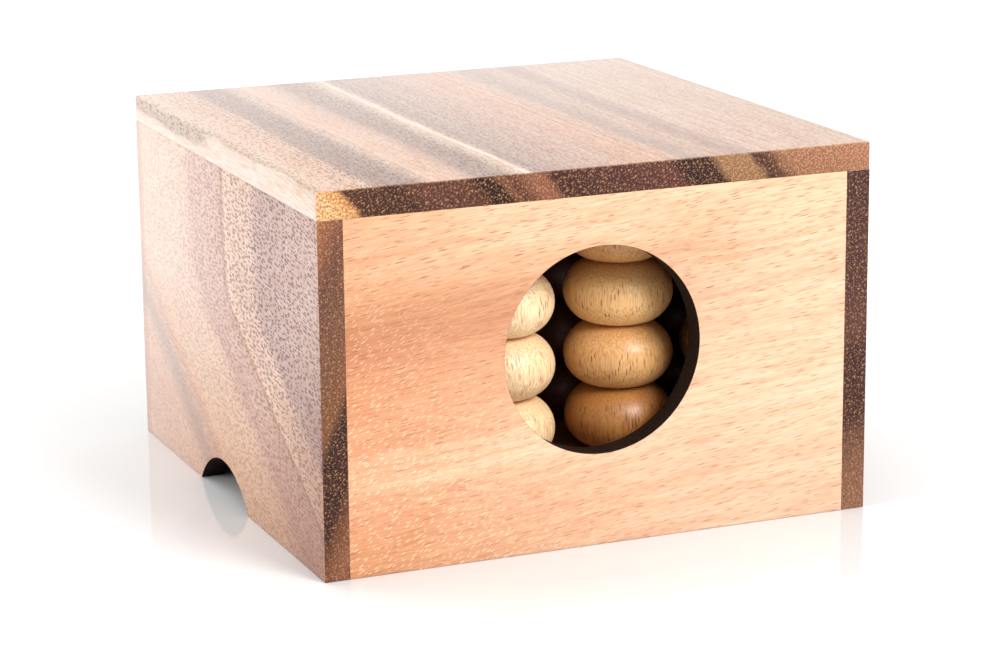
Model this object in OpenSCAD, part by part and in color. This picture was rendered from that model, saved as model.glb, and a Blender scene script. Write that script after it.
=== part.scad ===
// Wooden bead game in its box: a board with sixteen pegs, each holding four turned beads, stands
// under a bottomless cover of five panels with a round window and two finger notches.
// Millimetres. The origin is the centre of the base, on the table. +Z is up, the window faces -Y.

/* [Cover] */
// Width of the cover, across the window
cover_w = 150; // [135:1:180]
// Depth of the cover, front to back
cover_d = 150; // [135:1:180]
// Height of the cover, top panel included
cover_h = 97.5; // [80:0.5:120]
// Thickness of the four upright panels
wall_t = 6.6; // [5:0.2:9]
// Thickness of the top panel
top_t = 7.2; // [5:0.2:9]

/* [Window] */
// Diameter of the round window in the front panel
window_d = 53.5; // [35:0.5:64]
// How far the window's centre lies above the middle of the bead stacks
window_rise = 0; // [-3:0.5:3]

/* [Finger notches] */
// Radius of the arc that each side panel's notch is cut to
notch_r = 25; // [18:1:35]
// Height of each notch above the table
notch_h = 10; // [6:0.5:14]
// How far each notch lies behind the middle of its panel
notch_back = 4; // [0:1:10]

/* [Peg board] */
// Thickness of the board
board_t = 17.5; // [12:0.5:22]
// Gap between the board and the cover's walls, left and right
board_gap = 2.7; // [1.5:0.1:4]
// Gap between the board and the cover's back wall, as the cover has slid forward on the board
back_gap = 0.3; // [0.2:0.1:1.5]
// Wood left under each peg's blind socket
socket_floor = 4.5; // [3:0.5:6]

/* [Pegs] */
// Diameter of the pegs
peg_d = 7; // [5:0.5:8.5]
// Glue gap round each peg in its socket
glue_gap = 0.05; // [0:0.01:0.1]
// How far each peg stands above its top bead, less than the headroom
peg_stand = 2; // [1:0.1:4]
// Height of the chamfer on each peg's tip
peg_tip = 0.8; // [0.4:0.1:1.2]

/* [Beads] */
// Gap between neighbouring beads
bead_gap = 4.8; // [2:0.1:6]
// How far the outer beads stay inside the board's edge
bead_inset = 1.3; // [0:0.1:4]
// Play between a bead's bore and its peg, all round
bore_play = 0.5; // [0.2:0.1:1]
// Least width of the flat ring round each bore
seat_w = 2; // [1:0.5:3]
// Air that uneven ends leave between one bead and the next
seat_gap = 0.02; // [0.01:0.01:0.1]
// Free height between the top beads and the top panel
headroom = 6.4; // [5:0.1:12]

/* [Hidden] */
$fn = 96;
cut_past = 1;  // cutters run this far past a face

// Pegs along the depth and the width, and beads on each peg
peg_rows = 4;
peg_cols = 4;
beads_high = 4;
rows = [1 : peg_rows];
cols = [1 : peg_cols];
levels = [1 : beads_high];

// Inside of the cover
wall_h = cover_h - top_t;
inside_w = cover_w - 2 * wall_t;
inside_d = cover_d - 2 * wall_t;

board_w = inside_w - 2 * board_gap;
board_d = inside_d - 2 * board_gap;
board_back = board_gap - back_gap;  // the board's middle lies this far behind the cover's
socket_depth = board_t - socket_floor;
socket_d = peg_d + 2 * glue_gap;

// The beads fill the board, and their stacks fill the cover up to the headroom
bead_room_w = (board_w - 2 * bead_inset - (peg_cols - 1) * bead_gap) / peg_cols;
bead_room_d = (board_d - 2 * bead_inset - (peg_rows - 1) * bead_gap) / peg_rows;
bead_d = min(bead_room_w, bead_room_d);
stack_h = wall_h - headroom - board_t;
bead_pitch = stack_h / beads_high;
bead_h = bead_pitch - seat_gap;
bead_bore = peg_d + 2 * bore_play;
bead_edge_r = min(bead_h / 2, (bead_d - bead_bore) / 2 - seat_w);
bead_flat_r = bead_d / 2 - bead_edge_r;
bead_band = bead_h - 2 * bead_edge_r;

pitch_x = (board_w - 2 * bead_inset - bead_d) / (peg_cols - 1);
pitch_y = (board_d - 2 * bead_inset - bead_d) / (peg_rows - 1);
peg_length = socket_depth + stack_h + peg_stand;

window_z = board_t + stack_h / 2 + window_rise;

// Row 1 is the row behind the window, column 1 is the left one, bead 1 is the lowest
function peg_x(col) = (col - (peg_cols + 1) / 2) * pitch_x;
function peg_y(row) = board_back + (row - (peg_rows + 1) / 2) * pitch_y;
function bead_z(level) = board_t + (level - 1) * bead_pitch;

// The outer rows hold one player's light beads, the rows between them the other's dark ones
function is_light(row) = row == 1 || row == peg_rows;

function peg_name(row, col) = str("peg_r", row, "_c", col);
function bead_name(col, level) = str("bead_r1_c", col, "_b", level);
function stack_name(row, col) = str("beads_r", row, "_c", col);

// The beads behind the window are nodes of their own. Further back, each peg's four share one.
front_row = 1;
back_rows = [front_row + 1 : peg_rows];
PANELS = ["top_panel", "front_panel", "back_panel", "left_panel", "right_panel"];
PEGS = [for (row = rows, col = cols) peg_name(row, col)];
FRONT_BEADS = [for (col = cols, level = levels) bead_name(col, level)];
BACK_STACKS = [for (row = back_rows, col = cols) stack_name(row, col)];

// Covers the whole footprint and lies on the four upright panels
module top_panel() {
    color("rosybrown")
        translate([-cover_w / 2, -cover_d / 2, wall_h])
            cube([cover_w, cover_d, top_t]);
}

// A panel that stands between the two side panels, with its outer face at y = 0
module cross_panel() {
    translate([-inside_w / 2, 0, 0]) cube([inside_w, wall_t, wall_h]);
}

module front_panel() {
    color("sandybrown")
        translate([0, -cover_d / 2, 0])
            difference() {
                cross_panel();
                translate([0, -cut_past, window_z])
                    rotate([-90, 0, 0])
                        cylinder(d = window_d, h = wall_t + 2 * cut_past);
            }
}

module back_panel() {
    color("sandybrown")
        translate([0, cover_d / 2 - wall_t, 0])
            cross_panel();
}

// Full-depth side panel from x = 0 to wall_t, with a notch cut up from its lower edge
module side_panel() {
    difference() {
        translate([0, -cover_d / 2, 0]) cube([wall_t, cover_d, wall_h]);
        translate([-cut_past, notch_back, notch_h - notch_r])
            rotate([0, 90, 0])
                cylinder(r = notch_r, h = wall_t + 2 * cut_past);
    }
}

module left_panel() {
    color("tan") translate([-cover_w / 2, 0, 0]) side_panel();
}

module right_panel() {
    color("tan") translate([cover_w / 2 - wall_t, 0, 0]) side_panel();
}

// Square board with a blind socket for each peg
module peg_board() {
    color("sienna")
        difference() {
            translate([-board_w / 2, board_back - board_d / 2, 0])
                cube([board_w, board_d, board_t]);
            for (row = rows, col = cols)
                translate([peg_x(col), peg_y(row), socket_floor])
                    cylinder(d = socket_d, h = socket_depth + cut_past);
        }
}

// Dowel with a chamfered tip, standing on the floor of its socket
module peg(row, col) {
    color("peru")
        translate([peg_x(col), peg_y(row), socket_floor]) {
            cylinder(d = peg_d, h = peg_length - peg_tip);
            translate([0, 0, peg_length - peg_tip])
                cylinder(d1 = peg_d, d2 = peg_d - 2 * peg_tip, h = peg_tip);
        }
}

// Half of a bead's section: flat ends round the bore, and a round outer edge
module bead_section() {
    edge_centres = bead_band > 0 ? [bead_edge_r, bead_h - bead_edge_r] : [bead_edge_r];
    translate([bead_bore / 2, 0]) square([bead_flat_r - bead_bore / 2, bead_h]);
    for (z = edge_centres)
        intersection() {
            translate([bead_flat_r, z]) circle(r = bead_edge_r);
            translate([bead_flat_r, 0]) square([bead_edge_r, bead_h]);
        }
    if (bead_band > 0)
        translate([bead_flat_r, bead_edge_r]) square([bead_edge_r, bead_band]);
}

module bead(row, col, level) {
    color(is_light(row) ? "burlywood" : "saddlebrown")
        translate([peg_x(col), peg_y(row), bead_z(level)])
            rotate_extrude() bead_section();
}

// The four beads of one peg, as separate solids
module bead_stack(row, col) {
    for (level = levels) bead(row, col, level);
}

top_panel();
front_panel();
back_panel();
left_panel();
right_panel();
peg_board();
for (row = rows, col = cols)
    peg(row, col);
for (col = cols, level = levels)
    bead(front_row, col, level);
for (row = back_rows, col = cols)
    bead_stack(row, col);
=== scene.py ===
# %% [markdown]
# # A bead game in its wooden box
#
# The object is a strategy game made of a dense tropical hardwood: a board with sixteen pegs, four turned
# beads on each peg, and a lift-off cover of five thin panels. A round window in the front panel shows
# the beads, and a finger notch in each side panel lifts the cover. This notebook builds its looks around
# a finished CAD frame. The frame already holds every size, so the notebook measures it and never guesses.

# %% Load the frame
import math

import bpy
import numpy as np
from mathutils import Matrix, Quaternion, Vector


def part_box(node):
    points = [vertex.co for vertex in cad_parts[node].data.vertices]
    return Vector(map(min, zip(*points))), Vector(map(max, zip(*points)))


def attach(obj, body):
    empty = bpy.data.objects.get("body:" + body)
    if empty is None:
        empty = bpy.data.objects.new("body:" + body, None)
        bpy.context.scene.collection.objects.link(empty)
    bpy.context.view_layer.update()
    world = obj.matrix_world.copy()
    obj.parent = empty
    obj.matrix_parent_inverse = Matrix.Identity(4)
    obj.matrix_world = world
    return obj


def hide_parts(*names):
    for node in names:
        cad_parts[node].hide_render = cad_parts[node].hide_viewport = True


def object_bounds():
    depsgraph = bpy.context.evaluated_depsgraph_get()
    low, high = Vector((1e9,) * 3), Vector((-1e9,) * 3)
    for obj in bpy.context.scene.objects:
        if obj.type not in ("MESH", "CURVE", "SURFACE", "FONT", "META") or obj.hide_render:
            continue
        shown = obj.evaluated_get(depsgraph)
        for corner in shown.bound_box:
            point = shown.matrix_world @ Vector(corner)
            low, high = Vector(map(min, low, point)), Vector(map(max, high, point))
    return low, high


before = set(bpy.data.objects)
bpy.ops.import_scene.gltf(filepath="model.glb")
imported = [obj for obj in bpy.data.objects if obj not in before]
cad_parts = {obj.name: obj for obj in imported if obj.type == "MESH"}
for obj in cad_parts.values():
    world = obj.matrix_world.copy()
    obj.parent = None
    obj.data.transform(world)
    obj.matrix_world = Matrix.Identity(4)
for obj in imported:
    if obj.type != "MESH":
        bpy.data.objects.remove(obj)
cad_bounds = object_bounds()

MM = 0.001  # one millimetre in Blender's metres
print("CAD box, mm:", [round(size / MM, 2) for size in cad_bounds[1] - cad_bounds[0]])

# %% [markdown]
# ## The camera
#
# A long lens from well away keeps the box's edges nearly parallel, as a shop's catalogue does. The
# camera's place is given by how far round it stands, how high, and how far from the point it looks at. A
# quaternion from the view direction then turns it, with a small roll that a hand-levelled tripod leaves.

# %% The camera
CAMERA_LENS = 112.25      # mm, on a sensor 36 mm wide
CAMERA_ROUND = -22.81     # degrees round the box, to the left of its window
CAMERA_HEIGHT = 14.16     # degrees above the table
CAMERA_ROLL = -0.56       # degrees
CAMERA_DISTANCE = 810.5   # mm from the point it looks at
LOOKS_AT = (-11.1, -34.9, 47.0)  # mm from the centre of the base


def seen_from(azimuth, elevation):
    """Unit vector towards a viewer: azimuth turns it round +Z from -Y, elevation lifts it off the table."""
    a, e = math.radians(azimuth), math.radians(elevation)
    return Vector((math.sin(a) * math.cos(e), -math.cos(a) * math.cos(e), math.sin(e)))


def turned_towards(back):
    """Quaternion whose -Z looks against the vector back, with +Y kept upwards."""
    return (-back).to_track_quat("-Z", "Y")


camera = bpy.data.objects.new("studio_camera", bpy.data.cameras.new("studio_camera"))
camera.data.sensor_width = 36
camera.data.lens = CAMERA_LENS
back = seen_from(CAMERA_ROUND, CAMERA_HEIGHT)
camera.location = Vector(LOOKS_AT) * MM + back * CAMERA_DISTANCE * MM
camera.rotation_mode = "QUATERNION"
camera.rotation_quaternion = turned_towards(back) @ Quaternion((0, 0, 1), math.radians(CAMERA_ROLL))
bpy.context.scene.collection.objects.link(camera)
bpy.context.scene.camera = camera
bpy.context.scene.view_settings.view_transform = "Standard"
print("camera, mm:", [round(c / MM, 1) for c in camera.location], "lens, mm:", camera.data.lens)

# %% [markdown]
# ## Nodes and colours
#
# Every finish below is a tree of shader nodes. One small function adds a node, sets it up and links it, so
# that a tree reads like a formula. Colours are written as sRGB hex, as a paint program shows them, and
# another function turns them into the linear light that Blender works in.


# %% Nodes and colours
def linear(hex_colour):
    """Linear RGBA of an sRGB hex colour: c / 12.92 below 0.04045, else ((c + 0.055) / 1.055) ** 2.4."""
    c = np.array([int(hex_colour[i:i + 2], 16) for i in (0, 2, 4)]) / 255
    low, high = c / 12.92, ((c + 0.055) / 1.055) ** 2.4
    return (*np.where(c < 0.04045, low, high), 1.0)


def add(tree, kind, inputs=(), out=0, stops=(), **settings):
    """Adds a shader node and returns one of its outputs. inputs maps a socket to a value or to another
    node's output, and stops are a colour ramp's (position, hex colour or grey level) pairs."""
    node = tree.nodes.new("ShaderNode" + kind)
    for name, value in settings.items():
        setattr(node, name, value)
    for socket, value in dict(inputs).items():
        if isinstance(value, bpy.types.NodeSocket):
            tree.links.new(value, node.inputs[socket])
        else:
            node.inputs[socket].default_value = value
    for i, (position, colour) in enumerate(stops):
        elements = node.color_ramp.elements
        element = elements[i] if i < 2 else elements.new(position)
        level = linear(colour) if isinstance(colour, str) else (colour, colour, colour, 1.0)
        element.position, element.color = position, level
    return node.outputs[out]


def new_finish(name):
    """An empty material and its tree, with the Principled shader that every finish ends in."""
    material = bpy.data.materials.new(name)
    material.use_nodes = True
    tree = material.node_tree
    return material, tree, tree.nodes["Principled BSDF"]


print("white and middle grey, linear:", linear("ffffff")[0], round(float(linear("808080")[0]), 3))

# %% [markdown]
# ## The light
#
# The box stands in a white studio tent. The world is the tent's white cloth, which the oiled wood mirrors
# at grazing angles, so the top and the left side look pale. The cloth could be one even white, but then
# every face would be lit alike, so it is dimmer behind the camera than behind the box. Three softboxes do
# the rest. The key, at the front right, reaches in through the window and throws the window's rim as a
# soft shadow over the beads. A strip lifts the left side, and a large box behind brightens the top.

# %% The light
TENT_FRONT, TENT_BACK = 0.52, 1.05   # brightness of the cloth behind the camera, and behind the box
TENT_SEAMS = -0.8, 0.1               # where it changes, as the y part of the direction looked in
LAMPS_AIM_AT = Vector((0, 0, 50 * MM))

tent = bpy.data.worlds.new("studio_tent")
tent.use_nodes = True
cloth = tent.node_tree
looking = add(cloth, "TexCoord", out=0)
depth = add(cloth, "VectorMath", {0: looking, 1: (0, 1, 0)}, out=1, operation="DOT_PRODUCT")
glow = add(cloth, "MapRange", {0: depth, 1: TENT_SEAMS[0], 2: TENT_SEAMS[1], 3: TENT_FRONT, 4: TENT_BACK})
cloth.links.new(glow, cloth.nodes["Background"].inputs["Strength"])
cloth.nodes["Background"].inputs["Color"].default_value = (1.0, 1.0, 1.0, 1.0)
bpy.context.scene.world = tent

SOFTBOXES = {  # name: (degrees round, degrees up, mm away, width mm, height mm, watts)
    "key_softbox": (18, 34, 800, 320, 320, 6.9),
    "left_strip": (-78, 25, 800, 160, 420, 2.3),
    "back_softbox": (-150, 48, 1000, 700, 700, 5.0),
}
for name, (azimuth, elevation, away, width, height, watts) in SOFTBOXES.items():
    lamp = bpy.data.lights.new(name, "AREA")
    lamp.shape = "RECTANGLE"
    lamp.size, lamp.size_y, lamp.energy = width * MM, height * MM, watts
    softbox = bpy.data.objects.new(name, lamp)
    towards = seen_from(azimuth, elevation)
    softbox.location = LAMPS_AIM_AT + towards * away * MM
    softbox.rotation_mode = "QUATERNION"
    softbox.rotation_quaternion = turned_towards(towards)
    bpy.context.scene.collection.objects.link(softbox)
print("softboxes, watts:", {name: box[-1] for name, box in SOFTBOXES.items()})

# %% [markdown]
# ## The tabletop
#
# A sheet of white acrylic on the table. It could be matt paper, but then the box would have no reflection.
# Its polish gives back a faint, blurred picture of the box. Its colour is painted shade, grey round the box and
# lighter away from it, until it melts into the white tent. Acrylic's index of refraction is 1.49.

# %% The tabletop
SHEET_SIZE = 6.0                # metres, wide enough to reach past every view
SHEET_CLOUDS = 6.0              # to the metre, so a change in the polish is about 170 mm wide
SHEET_PAINTED_SHADE = 0.10, 0.30       # metres from the middle where the painted shade starts to fade, and where it is white

material, tree, shader = new_finish("white_acrylic_polished")
place = add(tree, "TexCoord", out=3)
haze = add(tree, "TexNoise", {"Vector": place, "Scale": SHEET_CLOUDS, "Detail": 2.0})
tree.links.new(add(tree, "MapRange", {0: haze, 3: 0.04, 4: 0.08}), shader.inputs["Roughness"])
from_middle = add(tree, "VectorMath", {0: place}, out=1, operation="LENGTH")
spread = add(tree, "MapRange", {0: from_middle, 1: SHEET_PAINTED_SHADE[0], 2: SHEET_PAINTED_SHADE[1]})
# painted shade: grey near the box, white farther off
sheet_with_painted_shade = add(tree, "ValToRGB", {0: spread}, stops=[(0, "cfcfcf"), (1, "f6f6f6")])
tree.links.new(sheet_with_painted_shade, shader.inputs["Base Color"])
shader.inputs["IOR"].default_value = 1.49
bpy.ops.mesh.primitive_grid_add(x_subdivisions=8, y_subdivisions=8, size=SHEET_SIZE)
tabletop = bpy.context.object
tabletop.name = "tabletop"
tabletop.data.materials.append(material)
print("tabletop, m:", SHEET_SIZE)

# %% [markdown]
# ## Places and sums
#
# Every pattern below is a function of a point's place in the wood, in millimetres. These helpers write the
# sums of such a function as nodes, so that each pattern's sizes can be read straight off a ruler. Object
# coordinates are used because they keep to the piece as it moves, and have no seams as an unwrapped map has.


# %% Places and sums
X_AXIS, Y_AXIS, Z_AXIS = (1, 0, 0), (0, 1, 0), (0, 0, 1)
PER_METRE = (1000, 1000, 1000)  # millimetres in a metre, along each axis


def in_millimetres(tree):
    """The piece's own coordinates, in millimetres."""
    place = add(tree, "TexCoord", out=3)
    return add(tree, "VectorMath", {0: place, 1: PER_METRE}, operation="MULTIPLY")


def dot(tree, place, direction):
    """Dot product of a place and a direction: how far along it the place is."""
    return add(tree, "VectorMath", {0: place, 1: direction}, out=1, operation="DOT_PRODUCT")


def product(tree, first, second):
    """Two values multiplied."""
    return add(tree, "Math", {0: first, 1: second}, operation="MULTIPLY")


def summed(tree, *terms):
    """Adds up any number of values or outputs."""
    total = terms[0]
    for term in terms[1:]:
        total = add(tree, "Math", {0: total, 1: term}, operation="ADD")
    return total


def between(tree, value, start, end, low=0.0, high=1.0):
    """Goes from low to high as the value goes from start to end, and stays level beyond them."""
    return add(tree, "MapRange", {0: value, 1: start, 2: end, 3: low, 4: high})


def mixed(tree, factor, first, second, blend="MIX"):
    """Blends two colours: factor 0 gives the first, 1 the second."""
    return add(tree, "Mix", {0: factor, 6: first, 7: second}, out=2, data_type="RGBA", blend_type=blend)


print("patterns run along", X_AXIS, Y_AXIS, "and", Z_AXIS)

# %% [markdown]
# ## Bands, fibres and pores
#
# Wood is made of long tubes that grew in layers, and three patterns give it. Bands are the layers: a
# slanted distance looks up a row of colours that is given in millimetres. Fibres are noise stretched along
# the grain. Pores are vessels, long thin tubes: cells stretched along the grain each hold one, which makes
# dashes on a face and dots on an end. A scanned sheet of veneer would be quicker, but it would not run round
# the board's edges, as a solid pattern does.


# %% Bands, fibres and pores
def on_board(tree, place, along, across):
    """(mm across, mm along, 0). The direction across has a part in the board's thickness too, so that the
    long edges get a figure that joins up with the face's."""
    return add(tree, "CombineXYZ", {0: dot(tree, place, across), 1: dot(tree, place, along)})


def cells(tree, flat, across, along, tilt=0.0):
    """Coordinates counted in cells of across by along mm, turned by tilt degrees."""
    turned = add(tree, "VectorRotate", {"Vector": flat, "Angle": math.radians(tilt)}, rotation_type="Z_AXIS")
    return add(tree, "VectorMath", {0: turned, 1: (1 / across, 1 / along, 1)}, operation="MULTIPLY")


def noise(tree, flat, across, along, detail=2.0):
    """Smooth noise from 0 to 1 over cells of across by along mm."""
    return add(tree, "TexNoise", {"Vector": cells(tree, flat, across, along), "Scale": 1.0, "Detail": detail},
               noise_dimensions="2D")


SMALLEST, LARGEST = 0.5, 1.2   # a pore's half width, as a share of the usual one
EDGE = 1.3, 0.7                # where a pore's soft edge ends and starts, in half widths


def dashes(tree, flat, across, along, radius, tilt=0.0):
    """1 inside a pore and 0 outside. Each cell of across by along mm has one pore at a random place. Its
    half width is radius mm times 0.5 to 1.2, and it is longer than wide as the cell is. EDGE is how far out,
    in radii, the pore's soft edge ends and starts."""
    where = cells(tree, flat, across, along, tilt)
    settings = {"Vector": where, "Scale": 1.0, "Randomness": 1.0}
    distance = add(tree, "TexVoronoi", settings, voronoi_dimensions="2D")
    lot = add(tree, "TexVoronoi", settings, out=1, voronoi_dimensions="2D")
    size = between(tree, add(tree, "SeparateColor", {0: lot}), 0, 1, SMALLEST * radius / across,
                   LARGEST * radius / across)
    return between(tree, add(tree, "Math", {0: distance, 1: size}, operation="DIVIDE"), *EDGE)


def banded(tree, distance, start, bands):
    """Colour, or level, at a distance across the board. bands are (mm from start, hex colour or level)."""
    width = bands[-1][0]
    return add(tree, "ValToRGB", {0: between(tree, distance, start, start + width)},
               stops=[(mm / width, colour) for mm, colour in bands])


print("a pore is", SMALLEST, "to", LARGEST, "times its usual width")

# %% [markdown]
# ## End grain and saw scorch
#
# A board's cut ends show its vessels head on. They drink the oil and turn nearly black, while the chalky
# fill in the vessels stays pale. Gluing on a separate end piece would leave a line, so the end grain is a
# second colour of the same wood, shown where the surface faces along the grain. A hole saw that runs hot
# also leaves its wall brown-black. That is found the same way, from the distance to the saw's axis.

# %% End grain and saw scorch
WAVER = 1.6               # mm that the ends' bands wander
SCORCH_EDGE = 0.1, 0.02   # mm outside the hole where the scorching ends, and where it is full


def end_grain(tree, place, grain, ends):
    """Colour of a board's cut ends, and the mottle in it. The ends' bands run along their own slant, and
    waver by up to WAVER mm. Small and large vessels are dots in the section, set askew."""
    lie, start, bands = ends
    beside = Vector(grain).cross(Vector(Z_AXIS))
    section = add(tree, "CombineXYZ", {0: dot(tree, place, beside), 1: dot(tree, place, Z_AXIS)})
    waver = between(tree, noise(tree, section, 5, 5), 0, 1, -WAVER, WAVER)
    end = banded(tree, summed(tree, dot(tree, place, lie), waver), start, bands)
    mottle = noise(tree, section, 0.55, 0.55, detail=3.0)
    end = mixed(tree, between(tree, mottle, 0.38, 0.62, 0, 0.8), end, linear("6a5048"), "MULTIPLY")
    end = mixed(tree, between(tree, mottle, 0.56, 0.7, 0, 0.35), end, linear("b98a66"))
    small = dashes(tree, section, 0.8, 1.1, 0.15, tilt=40)
    large = dashes(tree, section, 1.3, 1.6, 0.2, tilt=40)
    vessels = summed(tree, product(tree, small, 0.35), product(tree, large, 0.5))
    return mixed(tree, vessels, end, linear("b0805a")), mottle


def scorching(tree, place, cut):
    """1 on the wall of the hole that a hot saw cut, and 0 elsewhere: the distance from the hole's axis
    against its radius, over SCORCH_EDGE mm. A board without a hole has 0 all over."""
    if not cut:
        return 0.0
    seen, centre, radius = cut
    offset = add(tree, "VectorMath", {0: place, 1: centre}, operation="SUBTRACT")
    spoke = add(tree, "VectorMath", {0: offset, 1: seen}, operation="MULTIPLY")
    from_axis = add(tree, "VectorMath", {0: spoke}, out=1, operation="LENGTH")
    return between(tree, from_axis, radius + SCORCH_EDGE[0], radius + SCORCH_EDGE[1])


print("the ends' bands waver by", WAVER, "mm, and scorching is", SCORCH_EDGE[0], "mm deep")

# %% [markdown]
# ## Rain tree wood
#
# The panels are rain tree wood, sawn thin, sanded and oiled. Its sapwood is cream and its heartwood brown,
# in bands that wander, and its pores are large enough to see. Each board could have a tree of nodes of its
# own, but then every change would be made six times, so one function makes them all, from each board's
# bands and grain direction. Oiled wood has an index of refraction of about 1.5, and its oil film is a weak
# coat that is smoother than the wood under it.

# %% Rain tree wood
BEND_EASE = 14.0          # mm over which the bands start to swing
PORE_DEPTH = 0.12 * MM


def rain_tree(name, grain, across, lie, start, bands, pore, crowd, ends, sway=3.0, bend=(), tints_and_painted_light=(), haze=(),
              glint_flecks=(), cut=(), glint_colour="ffe9c8", pore_colour="6b4238", rings_depth=0.35):
    """Rain tree wood, sawn, sanded and oiled.

    grain and across are the board's directions along and across its fibres. The band at a point is its dot
    product with lie, plus a sway, in mm from start. bend is (slope, level): below that height the bands
    swing forwards. pore is (across, along, radius, tilt) of the vessels, and crowd is their strength in each
    band. ends is (lie, start, bands) of the end grain. tints_and_painted_light are (direction, from, to,
    colour, strength, blend): a slow change of colour along a direction, partly the wood's tone and partly
    painted light and shade. haze is the same without a blend: painted glare, which greys the figure towards
    the back as the mirrored white cloth does. glint_flecks are (across, along, radius, tilt, direction, from,
    to, strength): painted glints, light dashes where fibres catch the light. cut is the scorched saw hole, if
    any: (axes across it, centre, radius).
    """
    material, tree, shader = new_finish(name)
    place = in_millimetres(tree)
    flat = on_board(tree, place, grain, across)
    slow, quick = noise(tree, flat, 18, 120), noise(tree, flat, 4.5, 40)  # mm across, mm along
    drift = summed(tree, between(tree, slow, 0, 1, -sway, sway),
                   between(tree, quick, 0, 1, -0.3 * sway, 0.3 * sway))
    distance = summed(tree, dot(tree, place, lie), drift)
    if bend:
        slope, level = bend
        drop = product(tree, summed(tree, product(tree, dot(tree, place, Z_AXIS), -1), level), slope)
        forwards = add(tree, "Math", {0: drop, 1: 0.0, 2: BEND_EASE}, operation="SMOOTH_MAX")
        distance = summed(tree, distance, forwards)
    sideways = add(tree, "CombineXYZ", {0: product(tree, drift, 0.5)})
    wavy = add(tree, "VectorMath", {0: flat, 1: sideways}, operation="ADD")

    face = banded(tree, distance, start, bands)
    # tints: the wood's tone and, on some boards, painted light and shade along a direction
    for direction, first, last, colour, strength, blend in tints_and_painted_light:
        amount = between(tree, dot(tree, place, direction), first, last, 0, strength)
        face = mixed(tree, amount, face, linear(colour), blend)
    rings = noise(tree, add(tree, "CombineXYZ", {0: distance}), 1.6, 1, detail=4.0)  # 1.6 mm a ring
    cloud = noise(tree, wavy, 5, 26, detail=4.0)     # patches 5 mm wide
    fibre = noise(tree, wavy, 0.32, 7, detail=3.0)   # bundles 0.32 mm wide and 7 mm long
    shade = summed(tree, between(tree, rings, 0.3, 0.75, 0, rings_depth),
                   between(tree, cloud, 0.35, 0.7, 0, 0.2), between(tree, fibre, 0.35, 0.7, 0, 0.45))
    face = mixed(tree, shade, face, linear("d9b9a2"), "MULTIPLY")
    pores = product(tree, dashes(tree, wavy, *pore), banded(tree, distance, start, crowd))
    face = mixed(tree, pores, face, linear(pore_colour))
    # painted glints: light dashes where fibres catch the light
    for width, length, radius, tilt, direction, first, last, strength in glint_flecks:
        amount = between(tree, dot(tree, place, direction), first, last, 0, strength)
        shown = product(tree, dashes(tree, flat, width, length, radius, tilt), amount)
        face = mixed(tree, shown, face, linear(glint_colour))
    # painted glare: the face made lighter and greyer towards the back
    for direction, first, last, colour, strength in haze:
        amount = between(tree, dot(tree, place, direction), first, last, 0, strength)
        face = mixed(tree, amount, face, linear(colour))

    end, mottle = end_grain(tree, place, grain, ends)
    facing = dot(tree, add(tree, "TexCoord", out=1), Vector(grain).normalized())
    is_end = between(tree, add(tree, "Math", {0: facing}, operation="ABSOLUTE"), 0.55, 0.8)
    colour = mixed(tree, is_end, face, end)

    scorched = scorching(tree, place, cut)
    soot = mixed(tree, between(tree, mottle, 0.4, 0.7), linear("0f0a08"), linear("2a1a13"))
    colour = mixed(tree, scorched, colour, soot) if cut else colour

    tree.links.new(colour, shader.inputs["Base Color"])
    relief = summed(tree, product(tree, fibre, 0.3), product(tree, pores, -1.0))
    bump = add(tree, "Bump", {"Height": relief, "Strength": 0.45, "Distance": PORE_DEPTH})
    tree.links.new(bump, shader.inputs["Normal"])
    dull = add(tree, "Math", {0: is_end, 1: scorched}, operation="MAXIMUM")
    roughness = summed(tree, between(tree, fibre, 0, 1, 0.3, 0.5), product(tree, dull, 0.3))
    tree.links.new(roughness, shader.inputs["Roughness"])
    tree.links.new(between(tree, dull, 0, 1, 0.5, 0.12), shader.inputs["Specular IOR Level"])
    tree.links.new(between(tree, dull, 0, 1, 0.3, 0.0), shader.inputs["Coat Weight"])
    shader.inputs["IOR"].default_value = 1.5
    shader.inputs["Coat Roughness"].default_value = 0.25
    return material


print("rain tree wood: its pores are", round(PORE_DEPTH / MM, 2), "mm deep")

# %% [markdown]
# ## Measuring the frame
#
# The window and the notches were cut in CAD. Typing their sizes in again would work until someone changed
# one, so they are read back from the CAD panels' own points: the window's rim is what lies well inside the
# front panel's outline, and a notch's arc is what lies inside a side panel's. An arc of half width w and
# height h has the radius (w * w + h * h) / (2 * h).


# %% Measuring the frame
def corners_of(node):
    """The lowest and highest corner of a CAD node's box, in millimetres."""
    return (np.array(corner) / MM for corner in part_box(node))


def points_of(node):
    """A CAD node's vertices in millimetres, as an array."""
    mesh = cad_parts[node].data
    flat = np.zeros(len(mesh.vertices) * 3)
    mesh.vertices.foreach_get("co", flat)
    return flat.reshape(-1, 3) / MM


def inside(points, axes, margin=0.5):
    """The points that lie more than margin mm inside the outline, along each of the axes."""
    keep = np.ones(len(points), bool)
    for axis in axes:
        along = points[:, axis]
        keep &= (along > along.min() + margin) & (along < along.max() - margin)
    return points[keep]


rim = inside(points_of("front_panel"), axes=(0, 2))
window_centre = (rim.min(0) + rim.max(0)) / 2
window_radius = (rim[:, 0].max() - rim[:, 0].min()) / 2

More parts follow.
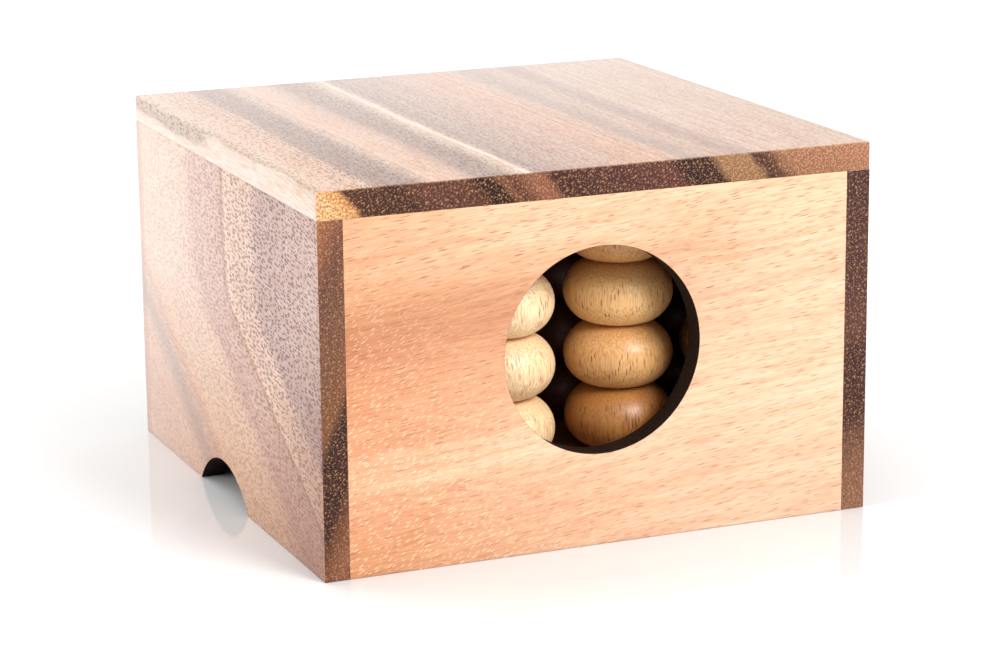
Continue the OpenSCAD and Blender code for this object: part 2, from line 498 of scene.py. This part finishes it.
arc = points_of("left_panel")
arc = arc[(np.abs(arc[:, 1]) < arc[:, 1].max() - 1) & (arc[:, 2] < arc[:, 2].max() - 1)]
notch_height = arc[:, 2].max()
notch_half = (arc[:, 1].max() - arc[:, 1].min()) / 2
notch_middle = (arc[:, 1].max() + arc[:, 1].min()) / 2
notch_radius = (notch_half ** 2 + notch_height ** 2) / (2 * notch_height)
print("window radius and height, mm:", round(window_radius, 2), round(window_centre[2], 2))
print("notch radius, height and middle, mm:", np.round([notch_radius, notch_height, notch_middle], 2))

# %% [markdown]
# ## Plans of the panels
#
# A panel is a flat board, so its shape is a plan: a grid of points in its own plane. Three plans are
# enough: a plain rectangle, a rectangle with a round window, and a rectangle with an arc cut from its
# lower edge. The openings could be cut out of a rectangle with a Boolean, but that leaves long thin
# triangles that shade badly, so the grid itself bends round them.


# %% Plans of the panels
def rectangle_plan(low, high, steps):
    """Grid of points (s, t): low + (high - low) * (s, t), with s and t from 0 to 1."""
    s, t = np.meshgrid(np.linspace(0, 1, steps[0] + 1), np.linspace(0, 1, steps[1] + 1), indexing="ij")
    return np.stack([low[0] + (high[0] - low[0]) * s, low[1] + (high[1] - low[1]) * t], -1)


def window_plan(low, high, centre, radius, per_side=48, rings=7):
    """Grid that is closed in s. Each ray runs from the circle, at the angle of an outline point, to that
    point: (1 - t) * (centre + radius * (cos a, sin a)) + t * outline."""
    side = np.arange(per_side) / per_side
    corners = np.array([[low[0], low[1]], [high[0], low[1]], [high[0], high[1]], [low[0], high[1]]])
    following = np.roll(corners, -1, axis=0)
    outline = (corners[:, None] + (following - corners)[:, None] * side[None, :, None]).reshape(-1, 2)
    away = outline - centre
    circle = centre + radius * away / np.linalg.norm(away, axis=1)[:, None]
    t = np.linspace(0, 1, rings + 1)[None, :, None]
    return (circle[:, None] * (1 - t) + outline[:, None] * t)[::-1]


def notch_plan(low, high, middle, half, radius, height, columns=20, rows=36):
    """Columns from the lower edge to the upper one. Over the notch the lower edge is the arc
    height - radius + sqrt(radius ** 2 - (s - middle) ** 2), and elsewhere it is straight."""
    over = middle + half * np.sin(np.linspace(-math.pi / 2, math.pi / 2, 49))
    s = np.concatenate([np.linspace(low[0], over[0], columns, endpoint=False), over,
                        np.linspace(over[-1], high[0], columns + 1)[1:]])
    bottom = np.full(len(s), float(low[1]))
    in_notch = np.abs(s - middle) <= half
    bottom[in_notch] = height - radius + np.sqrt(radius ** 2 - (s[in_notch] - middle) ** 2)
    t = np.linspace(0, 1, rows + 1)
    return np.stack([np.repeat(s[:, None], rows + 1, 1), bottom[:, None] + (high[1] - bottom[:, None]) * t], -1)


print("a plain plan has", rectangle_plan((0, 0), (1, 1), (40, 40)).shape[:2], "points")

# %% [markdown]
# ## Boards from plans
#
# A board is its plan twice, a thickness apart, with strips of faces between the borders. The arrises are
# then eased with a bevel, whose width follows a weight on each edge: the box's outer arrises were rounded
# with sandpaper, and the glued joints were only sanded flush.


# %% Boards from plans
def grid_faces(index, closed):
    """Quads of a grid of vertex numbers, wrapped round in s if it is closed."""
    following = np.roll(index, -1, axis=0) if closed else index[1:]
    first = index if closed else index[:-1]
    return np.stack([first[:, :-1], following[:, :-1], following[:, 1:], first[:, 1:]], -1).reshape(-1, 4)


JOINT_EASE = 0.35    # how far an arris in the middle of the box is eased, as a share of an outer one
SHARP_ANGLE = 25     # degrees between faces from which a board's edge is drawn sharp


def slab(name, plan, corner, axes, thickness, closed=False, notches=()):
    """A closed board: the plan at depth 0 and at depth thickness, joined by strips along its borders.
    A point is corner + s * axes[0] + t * axes[1] + depth * axes[2], where the axes form a right-handed set.
    Returns the object, with a bevel weight on each arris."""
    count = plan.shape[0] * plan.shape[1]
    back = np.arange(count).reshape(plan.shape[:2])
    front = back + count
    s_axis, t_axis, depth_axis = np.array(axes, float)
    flat = np.array(corner) + plan[..., :1] * s_axis + plan[..., 1:] * t_axis
    points = np.concatenate([flat.reshape(-1, 3), flat.reshape(-1, 3) + thickness * depth_axis])
    faces = [grid_faces(front, closed), grid_faces(back, closed)[:, ::-1]]
    strips = [np.stack([front[:, 0], back[:, 0]], -1), np.stack([back[:, -1], front[:, -1]], -1)]
    if not closed:
        strips += [np.stack([back[0], front[0]], -1), np.stack([front[-1], back[-1]], -1)]
    for strip in strips:
        faces.append(grid_faces(strip, closed)[:, ::-1])
    mesh = bpy.data.meshes.new(name)
    mesh.from_pydata(points * MM, [], np.concatenate(faces).tolist())
    mesh.update()

    at_border = np.zeros(plan.shape[:2], bool)
    at_border[:, [0, -1]] = True
    is_corner = np.zeros(plan.shape[:2], bool)
    if closed:
        rim = plan[:, -1]
        turn = np.abs(np.cross(np.roll(rim, -1, 0) - rim, rim - np.roll(rim, 1, 0)))
        is_corner[:, -1] = turn > 1e-6
    else:
        at_border[[0, -1]] = True
        is_corner[[0, 0, -1, -1], [0, -1, 0, -1]] = True
    for s in notches:
        is_corner[np.argmin(np.abs(plan[:, 0, 0] - s)), 0] = True
    border, corner_point = np.tile(at_border.ravel(), 2), np.tile(is_corner.ravel(), 2)
    ends = np.zeros(len(mesh.edges) * 2, int)
    mesh.edges.foreach_get("vertices", ends)
    a, b = ends.reshape(-1, 2).T
    same_face = (a < count) == (b < count)
    arris = border[a] & border[b] & (same_face | (corner_point[a] & corner_point[b]))
    low, high = (np.array(corner) / MM for corner in cad_bounds)
    on_outside = sum((np.abs(points[[a, b], k] - side[k]) < 0.01).all(0).astype(int)
                     for k in range(3) for side in (low, high))
    weight = mesh.attributes.new("bevel_weight_edge", "FLOAT", "EDGE")
    weight.data.foreach_set("value", np.where(arris, np.where(on_outside > 1, 1.0, JOINT_EASE), 0.0))
    piece = bpy.data.objects.new(name, mesh)
    bpy.context.scene.collection.objects.link(piece)
    return piece


def eased(piece, width):
    """Rounds the weighted arrises by up to width mm and keeps the result as the piece's own mesh."""
    bevel = piece.modifiers.new("eased_arrises", "BEVEL")
    bevel.limit_method, bevel.width, bevel.segments = "WEIGHT", width * MM, 3
    graph = bpy.context.evaluated_depsgraph_get()
    mesh = bpy.data.meshes.new_from_object(piece.evaluated_get(graph))
    piece.modifiers.clear()
    piece.data = mesh
    mesh.shade_smooth()
    mesh.set_sharp_from_angle(angle=math.radians(SHARP_ANGLE))
    return piece


def finished(piece, material, body, slot, *nodes):
    """Gives a piece its finish, says what it rides on, and hides the CAD nodes it stands for. slot is not used."""
    piece.data.materials.clear()
    piece.data.materials.append(material)
    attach(piece, body)
    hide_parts(*nodes)
    return piece


print("outer arrises are eased in full, and joints by", JOINT_EASE)

# %% [markdown]
# ## The top panel
#
# One wide board, with its grain from front to back. Pale sapwood lies along its left edge, then smoky
# brown streaks alternate with pinkish cream. Its front and back edges are end grain, nearly black. The
# streaks could be left to noise, but then they would fall anywhere, so their places are listed in mm.

# %% The top panel
END_SLANT = (1, 0, 0.8)   # the ends' bands lean, from the left edge's top arris
low, high = corners_of("top_panel")
left_end = low[0] + END_SLANT[2] * high[2]
top_wood = rain_tree(
    "rain_tree_figured_top", grain=(0.05, 1, 0), across=(1, -0.05, 0.8), lie=(1, 0.004, 0.4), start=-38.6,
    sway=2.5,
    bands=[(0, "dfd6cd"), (1.8, "d8cbbc"), (2.3, "b19c80"), (3.7, "bfab94"), (6.5, "cab39f"),
           (8.4, "c4a78f"), (15, "c3a48b"), (17.5, "b39784"), (20, "8d7668"), (27, "937b6e"),
           (30.5, "bda693"), (36, "c6a992"), (41, "b99d8b"), (45, "927c70"), (51, "96806f"),
           (54.5, "c2b0a0"), (58, "d2c4b6"), (59.5, "9c887d"), (67, "a58f83"), (79, "b69a89"),
           (91, "bf9b82"), (98, "bb9e8a"), (101, "9c8a80"), (108, "b8a191"), (115, "9c867c"),
           (120, "bda899"), (139, "bba593"), (158, "bba592")],
    pore=(0.8, 2.8, 0.24, 0),
    crowd=[(0, 0.1), (2, 0.1), (2.6, 1.0), (6, 0.5), (20, 1.0), (27, 1.0), (33, 0.25), (43, 0.4),
           (46, 1.0), (52, 0.9), (57, 0.15), (60, 0.8), (78, 0.5), (104, 0.35), (158, 0.35)],
    ends=(END_SLANT, left_end, [
        (0, "e6b27e"), (4.5, "d89c64"), (6.5, "4a2f24"), (20, "3a2420"), (25, "57352f"), (38, "523029"),
        (41, "2a1a17"), (45, "2c1b18"), (47, "744c38"), (50, "55332a"), (55, "8b5c48"), (58, "855642"),
        (60, "3c2321"), (76, "4a2c2b"), (92, "553130"), (95, "2a1c1b"), (103, "33231f"), (106, "94704f"),
        (114, "967252"), (116, "452d28"), (120, "54362d"), (124, "996d52"), (150, "a6765c")]),
    # haze: painted glare, lighter and greyer towards the back of the top
    haze=[(Y_AXIS, -60, 75, "e6dcd8", 0.25)], pore_colour="4c3026", rings_depth=0.6)
top = slab("top_board", rectangle_plan((0, 0), (high - low)[:2], (40, 40)), low, np.eye(3), (high - low)[2])
finished(eased(top, 0.55), top_wood, "cover", "figured_panel", "top_panel")
print("top panel, mm:", (high - low).round(2))

# %% [markdown]
# ## The front panel
#
# Honey-coloured heartwood with its grain across, rising a little to the right. It is paler to the right and
# darker to the left, partly its own tone and partly painted light from the right. At the left and below,
# painted glints stand for cream-coloured fibres that catch the light as short dashes. The window was cut with
# a hole saw that ran hot, so its wall is scorched dark brown: the wood's own function darkens what lies on the
# saw's cylinder, so that the scorch follows the window without a second material.

# %% The front panel
PANEL_EASE = 0.4   # mm
front_bands = [(0, "cc9970"), (8, "d8a57b"), (16, "dca983"), (24, "e2b592"), (29, "e6c6a6"), (34, "e2bd9c"),
               (40, "daaa85"), (50, "d5a27c"), (58, "ca9670"), (64, "bd8862"), (70, "c19068"), (76, "cea27c"),
               (82, "d7b391"), (90, "d9b594"), (96, "d6b08c")]
plain_ends = ((0, 0.6, 1), 0, [(0, "6b4530"), (40, "7d5338"), (95, "5e3c2b")])
saw_hole = ((1, 0, 1), tuple(window_centre), window_radius)
front_wood = rain_tree(
    "rain_tree_plain_front", grain=(1, 0, 0.13), across=(-0.13, 0.8, 1), lie=(-0.08, 0.2, 1), start=-15,
    sway=4.0, bands=front_bands, pore=(0.7, 9.0, 0.09, 0), crowd=[(0, 0.6), (40, 0.6), (60, 0.8), (96, 0.9)],
    ends=plain_ends,
    # paler to the right, darker to the left: partly the wood's tone, partly painted light from the right
    tints_and_painted_light=[(X_AXIS, -25, 45, "d9b393", 0.7, "MIX"), (X_AXIS, -20, -75, "ecc49c", 0.6, "MULTIPLY"),
           ((1, 0, -1), -60, 30, "ecccb0", 0.6, "MIX")],
    # painted glints at the left and below
    glint_flecks=[(0.7, 3.4, 0.12, 20, (-1, 0, -1), -35, 30, 0.6)], glint_colour="f4d8b8", pore_colour="8f4f2e",
    cut=saw_hole)
low, high = corners_of("front_panel")
width, thickness, height = high - low
plan = window_plan((0, 0), (width, height), window_centre[[0, 2]] - low[[0, 2]], window_radius)
front = slab("front_board", plan, (low[0], high[1], low[2]), ((1, 0, 0), (0, 0, 1), (0, -1, 0)), thickness,
             closed=True)
finished(eased(front, PANEL_EASE), front_wood, "cover", "plain_panel", "front_panel")
print("front panel, mm:", (high - low).round(2), "with", len(front.data.vertices), "points")

# %% [markdown]
# ## The back panel
#
# A second board from the same plank, without a window. It uses the front panel's bands, shifted and with
# more sway, because two boards of one tree look alike but never the same.

# %% The back panel
back_wood = rain_tree(
    "rain_tree_plain_back", grain=(1, 0, -0.05), across=(0.05, 0.8, 1), lie=(0.06, 0.2, 1), start=-8, sway=5.5,
    bands=front_bands + [(120, "d8a67c")], pore=(0.75, 5.0, 0.13, 0), crowd=[(0, 0.5), (60, 0.3), (120, 0.6)],
    ends=plain_ends, pore_colour="a8683f")
low, high = corners_of("back_panel")
width, thickness, height = high - low
plan = rectangle_plan((0, 0), (width, height), (40, 24))
rear = slab("back_board", plan, (high[0], low[1], low[2]), ((-1, 0, 0), (0, 0, 1), (0, 1, 0)), thickness)
finished(eased(rear, PANEL_EASE), back_wood, "cover", "plain_panel", "back_panel")
print("back panel, mm:", (high - low).round(2))

# %% [markdown]
# ## The side panels
#
# Both run the full depth of the box, so their end grain shows at the front. They were sawn at a slant to
# the fibres, so their pores are short dashes, and the bands swing down and forwards. A finger notch is cut
# from the lower edge of each, and its wall is scorched like the window's. One function makes both panels
# and mirrors the grain, because they come from one board.

# %% The side panels
SIDE_EASE = 0.5   # mm
side_bands = [(0, "baa398"), (18, "b99f95"), (30, "b89f98"), (40, "b29891"), (52, "b59b93"), (58, "d3b8a8"),
              (70, "d3b7a6"), (76, "dfc5b1"), (78.5, "dabba6"), (79.6, "ae8874"), (82, "c8a99b"), (94, "ceaea1"),
              (106, "c8a89c"), (112, "dabca8"), (124, "e1c5b0"), (146, "dfc2aa"), (156, "e2bc9d"), (164, "cc9f80"),
              (168, "cfab95"), (174, "b59a8c"), (180, "b79b8a"), (190, "dcb89e"), (245, "dfbca2")]
side_crowd = [(0, 0.8), (30, 1.0), (52, 1.0), (60, 0.85), (80, 0.75), (110, 0.5), (160, 0.35), (245, 0.4)]
left_ends = ((2.4, 0, -1), -270, [
    (0, "a06c48"), (12, "845440"), (20, "66443a"), (40, "74503f"), (56, "7c5238"), (62, "3a2624"), (80, "3c2625"),
    (88, "744a36"), (98, "94624a"), (106, "845444")])
right_ends = ((0.4, 0, -1), -62, [
    (0, "3e2a2b"), (30, "4c3030"), (42, "5c3c36"), (48, "3e2828"), (66, "452c2b"), (76, "7c5644"), (90, "946a54")])


def side_wood(name, outward, shift, ends):
    """A side panel's wood. outward is -1 on the left and 1 on the right, and shift slides its figure."""
    notch = ((0, 1, 1), (0, notch_middle, notch_height - notch_radius), notch_radius)
    return rain_tree(
        name, grain=(0.35 * outward, 1, 0.12), across=(outward, -0.12, 1), lie=(0.5, 1, 0), start=-119 + shift,
        bands=side_bands, pore=(0.8, 2.4, 0.27, 0), crowd=side_crowd, ends=ends, sway=2.5,
        # the second tint is painted shade, darker towards the front and the bottom
        tints_and_painted_light=[(Z_AXIS, 55, 5, "e6c6a6", 0.6, "MULTIPLY"), ((0, -1, -1), 0, 60, "b08a70", 0.6, "MULTIPLY"),
              (Y_AXIS, 69, 73, "d8ab88", 0.7, "MULTIPLY")],
        # haze: painted glare, lighter and greyer towards the back
        haze=[(Y_AXIS, -10, 75, "ece4e2", 0.3)], cut=notch, bend=(1.6, 57), pore_colour="5a2c1c")


def side_board(node, name, outward, material):
    """A side panel: the notch plan over its depth and height, with its outer face at the box's side."""
    low, high = corners_of(node)
    thickness, depth, height = high - low
    middle = notch_middle - low[1] if outward > 0 else high[1] - notch_middle
    plan = notch_plan((0, 0), (depth, height), middle, notch_half, notch_radius, notch_height)
    corner = (low[0], low[1], low[2]) if outward > 0 else (high[0], high[1], low[2])
    axes = ((0, outward, 0), (0, 0, 1), (outward, 0, 0))
    piece = slab(name, plan, corner, axes, thickness, notches=(middle - notch_half, middle + notch_half))
    return finished(eased(piece, SIDE_EASE), material, "cover", "figured_panel", node)


left = side_board("left_panel", "left_board", -1, side_wood("rain_tree_figured_left", -1, 0, left_ends))
right = side_board("right_panel", "right_board", 1, side_wood("rain_tree_figured_right", 1, -70, right_ends))
print("side panels, points:", len(left.data.vertices), len(right.data.vertices))

# %% [markdown]
# ## The peg board
#
# A thick board of the same wood, which the cover drops over. It carries the pegs in blind sockets. The
# sockets are full of peg and glue, so the board is a plain block here, and only its arrises are rounded.

# %% The peg board
BOARD_EASE = 1.6   # mm
board_wood = rain_tree(
    "rain_tree_peg_board", grain=(1, 0.03, 0), across=(0, 1, 0.8), lie=(0, 1, 0.5), start=-80, sway=5.0,
    bands=[(0, "8a6048"), (25, "a0735a"), (50, "7b5441"), (75, "a87b60"), (100, "6f4b3b"), (130, "95694f"),
           (170, "8a6048")],
    pore=(1.0, 4.5, 0.17, 0), crowd=[(0, 0.7), (170, 0.7)],
    ends=((0, 1, 0.5), -80, [(0, "4b2e22"), (60, "5e3a2a"), (110, "43281f"), (170, "55352a")]))
low, high = corners_of("peg_board")
base = slab("base_board", rectangle_plan((0, 0), (high - low)[:2], (36, 36)), low, np.eye(3), (high - low)[2])
finished(eased(base, BOARD_EASE), board_wood, "board", "peg_board", "peg_board")
print("peg board, mm:", (high - low).round(2))

# %% [markdown]
# ## The grid of beads
#
# Pegs and beads stand in a regular grid. Its steps are measured from the frame's first beads, as one would
# measure with a rule from bead to bead. Each cell of the grid later gets its own piece of the tree.

# %% The grid of beads
bead_low, bead_high = corners_of("bead_r1_c1_b1")
bead_radius, bead_height = (bead_high - bead_low)[0] / 2, (bead_high - bead_low)[2]
first = (bead_low + bead_high)[:2] / 2
next_column, _ = corners_of("bead_r1_c2_b1")
next_row, _ = corners_of("beads_r2_c1")
next_level, _ = corners_of("bead_r1_c1_b2")
grid_step = (next_column[0] - bead_low[0], next_row[1] - bead_low[1], next_level[2] - bead_low[2])
grid_start = (first[0] - grid_step[0] / 2, first[1] - grid_step[1] / 2, bead_low[2])
bore_radius = np.linalg.norm(points_of("bead_r1_c1_b1")[:, :2] - first, axis=1).min()
print("bead diameter and height, mm:", round(bead_radius * 2, 2), round(bead_height, 2))
print("bore, mm:", round(bore_radius * 2, 2), "and grid step, mm:", np.round(grid_step, 2))

# %% [markdown]
# ## Turned hardwood
#
# Pegs and beads are turned from a pale, straight-grained hardwood with its fibres upright. Its pores cut the
# surface as thin upright dashes on the sides and as dots on the ends. Noise alone would give every bead the
# same wood, so white noise over the cells of the grid gives each one its own tone and its own part of the
# tree. The dashes are drawn on the unrolled side: the angle round the axis times the radius is a length in
# millimetres.


# %% Turned hardwood
TREE_JUMP = 90           # mm that the tree moves at most from one cell of the grid to the next
END_FACE = 0.5, 0.75     # upward part of the normal where a side turns into an end
TURNED_PORE_DEPTH = 0.1 * MM


def in_the_grid(tree, place):
    """A cell's own random number, the place moved to its own part of the tree, and the place from the
    cell's middle."""
    corner = add(tree, "VectorMath", {0: place, 1: grid_start}, operation="SUBTRACT")
    cell = add(tree, "VectorMath", {0: corner, 1: grid_step}, operation="SNAP")
    chance = add(tree, "TexWhiteNoise", {"Vector": cell})
    lots = add(tree, "TexWhiteNoise", {"Vector": cell}, out=1)
    jump = add(tree, "VectorMath", {0: lots, 1: (TREE_JUMP, TREE_JUMP, TREE_JUMP)}, operation="MULTIPLY")
    own = add(tree, "VectorMath", {0: place, 1: jump}, operation="ADD")
    middle = add(tree, "VectorMath", {0: corner, 1: cell}, operation="SUBTRACT")
    middle = add(tree, "VectorMath", {0: middle, 1: tuple(np.array(grid_step) / 2)}, operation="SUBTRACT")
    return chance, own, middle


def upright(tree, own, across, along):
    """A place counted in upright cells of across by along mm."""
    return add(tree, "VectorMath", {0: own, 1: (1 / across, 1 / across, 1 / along)}, operation="MULTIPLY")


def turned_pores(tree, chance, own, middle, pore):
    """Dashes on the unrolled side, in crowds, and dots on the ends. The side is (radius * angle, height)."""
    x, y, z = (dot(tree, middle, axis) for axis in (X_AXIS, Y_AXIS, Z_AXIS))
    arc = product(tree, add(tree, "Math", {0: y, 1: x}, operation="ARCTAN2"), bead_radius)
    side = add(tree, "CombineXYZ", {0: summed(tree, arc, product(tree, chance, TREE_JUMP)), 1: z})
    crowds = add(tree, "TexNoise", {"Vector": upright(tree, own, 4, 8), "Scale": 1.0})  # 4 mm wide, 8 mm high
    on_side = product(tree, dashes(tree, side, *pore), between(tree, crowds, 0.42, 0.6, 0.15, 1.0))
    on_end = product(tree, dashes(tree, own, 0.9, 0.9, 0.15), 0.55)
    upward = add(tree, "Math", {0: dot(tree, add(tree, "TexCoord", out=1), Z_AXIS)}, operation="ABSOLUTE")
    return mixed(tree, between(tree, upward, *END_FACE), on_side, on_end)


def turned_wood(name, tones, pore, fleck, spread=0.12, roughness=0.5, coat=0.2):
    """Upright hardwood, turned and sanded, with a lacquer of the given coat. tones are its two colours, and
    spread is how far one bead's tone wanders between them. pore is (across, along, radius) of its vessels,
    and fleck their colour."""
    material, tree, shader = new_finish(name)
    chance, own, middle = in_the_grid(tree, in_millimetres(tree))
    cloud = add(tree, "TexNoise", {"Vector": upright(tree, own, 6, 25), "Scale": 1.0, "Detail": 3.0})
    drift = between(tree, cloud, 0.3, 0.7, -spread, spread)
    tone = add(tree, "ValToRGB", {0: summed(tree, between(tree, chance, 0, 1, 0.2, 0.8), drift)}, stops=tones)
    fibre = add(tree, "TexNoise", {"Vector": upright(tree, own, 0.35, 9), "Scale": 1.0, "Detail": 3.0})
    tone = mixed(tree, between(tree, fibre, 0.4, 0.7, 0, 0.6), tone, linear("c08c58"), "MULTIPLY")
    shown = turned_pores(tree, chance, own, middle, pore)
    tone = mixed(tree, product(tree, shown, 0.85), tone, linear(fleck))
    tree.links.new(tone, shader.inputs["Base Color"])
    relief = product(tree, shown, -1.0)
    bump = add(tree, "Bump", {"Height": relief, "Strength": 0.35, "Distance": TURNED_PORE_DEPTH})
    tree.links.new(bump, shader.inputs["Normal"])
    shader.inputs["Roughness"].default_value = roughness
    shader.inputs["IOR"].default_value = 1.5
    shader.inputs["Coat Weight"].default_value = coat
    shader.inputs["Coat Roughness"].default_value = 0.25
    return material


print("each bead's wood starts up to", TREE_JUMP, "mm away in the tree")

# %% [markdown]
# ## The pegs
#
# Beech dowel, bare so that the beads slide well. The pegs keep their chamfered CAD shape, which is right
# already, and only get their wood: a new piece would add nothing that can be seen.

# %% The pegs
dowel_wood = turned_wood("beech_dowel_bare", [(0, "d9b27c"), (1, "e6c696")], (0.8, 5.0, 0.09), "9a6a3c",
                         spread=0.1, roughness=0.55, coat=0.0)
pegs = [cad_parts[f"peg_r{row}_c{column}"] for row in range(1, 5) for column in range(1, 5)]
for peg in pegs:
    peg.data.materials.clear()
    peg.data.materials.append(dowel_wood)
print("pegs:", len(pegs))

# %% [markdown]
# ## The shape of a bead
#
# Each bead is a ring with a full round edge, turned on a lathe. A lathe shape is a profile carried round an
# axis, so one outline is enough. A torus would be simpler, but it has no flat ends to stand on, and no
# eased edge where the bore comes out. Hand turning is never quite round, so each bead is up to 0.12 mm oval.

# %% The shape of a bead
BORE_ANGLE = 50   # degrees between faces from which a bead's edge is drawn sharp


def bead_profile(radius, height, bore, ease=0.5, round_steps=18):
    """Closed outline of a ring's section as (r, z) points: bore, eased bore edge, flat end, then the half
    circle r = flat + h/2 cos a, z = h/2 (1 + sin a), and back along the other end."""
    half = height / 2
    flat = radius - half
    angles = np.linspace(-math.pi / 2, math.pi / 2, round_steps + 1)
    edge = np.stack([flat + half * np.cos(angles), half * (1 + np.sin(angles))], -1)
    turn = np.linspace(0, math.pi / 2, 4)
    lower = np.stack([bore + ease * (1 - np.sin(turn)), ease * (1 - np.cos(turn))], -1)[::-1]
    upper = lower[::-1] * (1, -1) + (0, height)
    return np.concatenate([lower, edge, upper])


def lathe(profile, centre, around=64, wobble=0.0, phase=0.0):
    """Carries a closed profile round a vertical axis: (r cos a, r sin a, z). wobble, in mm, makes the turning
    very slightly oval: r grows by wobble * cos(2 a + phase) * r / r_max."""
    angle = np.linspace(0, 2 * math.pi, around, endpoint=False)[:, None]
    r, z = profile.T
    r = r + wobble * (np.cos(2 * angle + phase) - 1) * r / r.max()
    points = np.stack([centre[0] + r * np.cos(angle), centre[1] + r * np.sin(angle),
                       centre[2] + np.broadcast_to(z, r.shape)], -1).reshape(-1, 3)
    index = np.arange(len(points)).reshape(around, -1)
    index = np.concatenate([index, index[:, :1]], 1)
    return points, grid_faces(index, closed=True)


def ring_piece(name, parts):
    """One object from any number of (points, faces) rings."""
    start, points, faces = 0, [], []
    for part_points, part_faces in parts:
        points.append(part_points)
        faces.append(part_faces + start)
        start += len(part_points)
    mesh = bpy.data.meshes.new(name)
    mesh.from_pydata(np.concatenate(points) * MM, [], np.concatenate(faces).tolist())
    mesh.shade_smooth()
    mesh.set_sharp_from_angle(angle=math.radians(BORE_ANGLE))
    piece = bpy.data.objects.new(name, mesh)
    bpy.context.scene.collection.objects.link(piece)
    return piece


profile = bead_profile(bead_radius, bead_height, bore_radius)
print("points in a bead's outline:", len(profile))

# %% [markdown]
# ## The beads
#
# Two players' beads differ: one set is blond under a clear lacquer, the other is stained dark. Blond wood
# varies from plank to plank, from cream to amber, so the front row's beads take one of four tones. On the
# second column the lightest tone is painted light, for beads in full light, and on the fourth column amber
# is painted shade, behind the front panel where the key light does not reach. The lacquer is a thin coat
# that is glossier than the wood. Each bead of the front row is a piece of its own, because it moves by
# itself. The four beads of any other peg rise together, so they are one piece.

# %% The beads
# a lighter copy of the blond wood, used as painted light on the brightly lit second column
pale_as_painted_light = turned_wood("rubberwood_pale_lacquered_painted_light", [(0, "eecb9a"), (1, "fae2bc")], (0.9, 6.0, 0.17), "9a5018")
straw = turned_wood("rubberwood_straw_lacquered", [(0, "d8a25c"), (1, "eec68c")], (0.95, 6.0, 0.14), "7a3c12")
honey = turned_wood("rubberwood_honey_lacquered", [(0, "c48a4c"), (1, "e2b478")], (0.95, 6.0, 0.15), "6a3210")
# amber is the wood's tone on one bead and painted shade on the fourth column
amber_and_painted_shade = turned_wood("rubberwood_amber_lacquered_and_painted_shade", [(0, "99602e"), (1, "bd8746")], (0.9, 7.0, 0.24), "34160a")
dark = turned_wood("rubberwood_dark_stained", [(0, "3a1a10"), (1, "54281a")], (0.95, 4.2, 0.15), "160a07",
                   coat=0.15)

OVAL = 0.12   # mm, the most that a bead is out of round
luck = np.random.default_rng(7)


def bead_at(column, row, level):
    """The ring of one bead, at its place in the grid."""
    steps = np.array([column - 1, row - 1, level - 1]) * grid_step
    centre = (first[0] + steps[0], first[1] + steps[1], bead_low[2] + steps[2])
    return lathe(profile, centre, wobble=luck.uniform(0, OVAL), phase=luck.uniform(0, 6.28))


# columns 2 and 4 carry painted light and painted shade, and the rest are the wood's own tones
FRONT_TONES_AND_PAINTED_LIGHT = {(2, 1): pale_as_painted_light, (2, 2): pale_as_painted_light, (2, 3): pale_as_painted_light, (2, 4): straw,     # (column, level)
               (3, 1): amber_and_painted_shade, (3, 2): honey, (3, 3): straw, (3, 4): honey,
               (4, 1): amber_and_painted_shade, (4, 2): amber_and_painted_shade, (4, 3): amber_and_painted_shade, (4, 4): amber_and_painted_shade}
for column in range(1, 5):
    for level in range(1, 5):
        node = f"bead_r1_c{column}_b{level}"
        bead = ring_piece(f"front_bead_{column}_{level}", [bead_at(column, 1, level)])
        finished(bead, FRONT_TONES_AND_PAINTED_LIGHT.get((column, level), straw), node, "light_bead", node)
for row in range(2, 5):
    for column in range(1, 5):
        node = f"beads_r{row}_c{column}"
        stack = ring_piece(f"bead_stack_{row}_{column}", [bead_at(column, row, level) for level in range(1, 5)])
        is_light = row == 4
        finished(stack, straw if is_light else dark, node, "light_bead" if is_light else "dark_bead", node)
print("beads:", 4 * 4 * 4)
